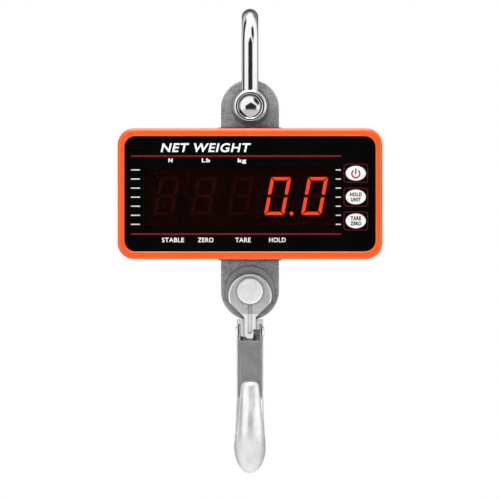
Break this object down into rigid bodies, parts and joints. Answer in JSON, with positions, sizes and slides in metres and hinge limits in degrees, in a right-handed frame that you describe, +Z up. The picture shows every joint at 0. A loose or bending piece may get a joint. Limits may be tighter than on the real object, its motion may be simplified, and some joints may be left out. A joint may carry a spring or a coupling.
{
  "type": "crane scale",
  "caption": "Hanging crane scale: bow shackle and latched clevis hook on a load cell plate, with a display case clamped round it.",
  "frame": {"origin": "inside of the shackle bow's crown, the point that hangs on a crane's hook", "axes": "+Z up along the load line, +X to the reader's right across the display, -Y out of the display towards the reader"},
  "size_m": [0.182, 0.0747, 0.3202],
  "materials": {
    "chrome": "polished",
    "nylon": "natural grey",
    "blasted_steel": "bead blasted",
    "cover_steel": "brushed",
    "gauge_foil": "foil",
    "cable_jacket": "smooth",
    "forged_steel": "polished forging",
    "pin_steel": "turned",
    "spring_steel": "bright",
    "latch_steel": "zinc plated",
    "case_orange": "moulded",
    "seal_rubber": "matte",
    "panel_black": "gloss printed",
    "lens_red": "smoked clear",
    "key_white": "satin",
    "switch_black": "moulded",
    "switch_steel": "stamped",
    "led_red": "tinted",
    "digit_grey": "moulded",
    "board_green": "solder mask",
    "chip_black": "moulded",
    "ribbon_grey": "flat cable",
    "tray_black": "moulded",
    "cell_wrap": "shrink wrap",
    "screw_steel": "zinc plated"
  },
  "bodies": {
    "shackle": {"shackle_bow": "chrome", "shackle_pin": "chrome", "shackle_cap": "chrome"},
    "scale": {"upper_washer_front": "nylon", "upper_washer_rear": "nylon", "load_cell": "blasted_steel", "gauge_cover_front": "cover_steel", "gauge_cover_rear": "cover_steel", "strain_gauges": "gauge_foil", "cell_cable": "cable_jacket", "front_shell": "case_orange", "rear_shell": "case_orange", "shell_seal": "seal_rubber", "top_grommet": "seal_rubber", "bottom_grommet": "seal_rubber", "front_panel": "panel_black", "display_lens": "lens_red", "tact_switches": "switch_steel", "indicator_leds": "led_red", "display_board": "board_green", "main_board": "board_green", "board_chips": "chip_black", "buzzer": "chip_black", "board_link": "ribbon_grey", "battery_tray": "tray_black", "battery_cells": "cell_wrap", "battery_contacts": "spring_steel", "battery_door": "case_orange", "charge_jack": "tray_black", "cap_pin": "pin_steel", "shell_screws": "screw_steel", "cell_screws": "screw_steel", "board_screws": "screw_steel", "main_screws": "screw_steel", "door_screws": "screw_steel", "digit_1": "digit_grey", "digit_2": "digit_grey", "digit_3": "digit_grey", "digit_4": "digit_grey", "digit_5": "digit_grey"},
    "hook": {"hook": "forged_steel", "hook_pin": "pin_steel", "hook_pin_cotter": "spring_steel", "latch_pin": "pin_steel", "latch_spring": "spring_steel", "lower_washer_front": "nylon", "lower_washer_rear": "nylon"},
    "latch": {"latch": "latch_steel"},
    "power_key": {"power_key": "key_white", "power_plunger": "switch_black"},
    "hold_key": {"hold_key": "key_white", "hold_plunger": "switch_black"},
    "tare_key": {"tare_key": "key_white", "tare_plunger": "switch_black"},
    "charge_cap": {"charge_cap": "seal_rubber"}
  },
  "joints": [
    {"name": "shackle_swing", "type": "hinge", "parent": "shackle", "child": "scale", "pos_m": [0, 0, -0.0558], "axis": [0, 1, 0], "range_deg": [-90, 90]},
    {"name": "hook_swing", "type": "hinge", "parent": "scale", "child": "hook", "pos_m": [0, 0, -0.1832], "axis": [0, 1, 0], "range_deg": [-90, 90]},
    {"name": "latch_open", "type": "hinge", "parent": "hook", "child": "latch", "pos_m": [0, -0.0068, -0.2111], "axis": [1, 0, 0], "range_deg": [0, 32], "stiffness_Nm_per_rad": 0.05, "springref_deg": -28.65, "deforming": ["latch_spring"]},
    {"name": "power_press", "type": "slide", "parent": "scale", "child": "power_key", "axis": [0, 1, 0], "range_m": [0, 0.0005], "stiffness_N_per_m": 1500, "springref_m": -0.0003},
    {"name": "hold_press", "type": "slide", "parent": "scale", "child": "hold_key", "axis": [0, 1, 0], "range_m": [0, 0.0005], "stiffness_N_per_m": 1500, "springref_m": -0.0003},
    {"name": "tare_press", "type": "slide", "parent": "scale", "child": "tare_key", "axis": [0, 1, 0], "range_m": [0, 0.0005], "stiffness_N_per_m": 1500, "springref_m": -0.0003},
    {"name": "cap_hinge", "type": "hinge", "parent": "scale", "child": "charge_cap", "pos_m": [0.064, 0.0355, -0.1153], "axis": [1, 0, 0], "range_deg": [0, 100]}
  ]
}
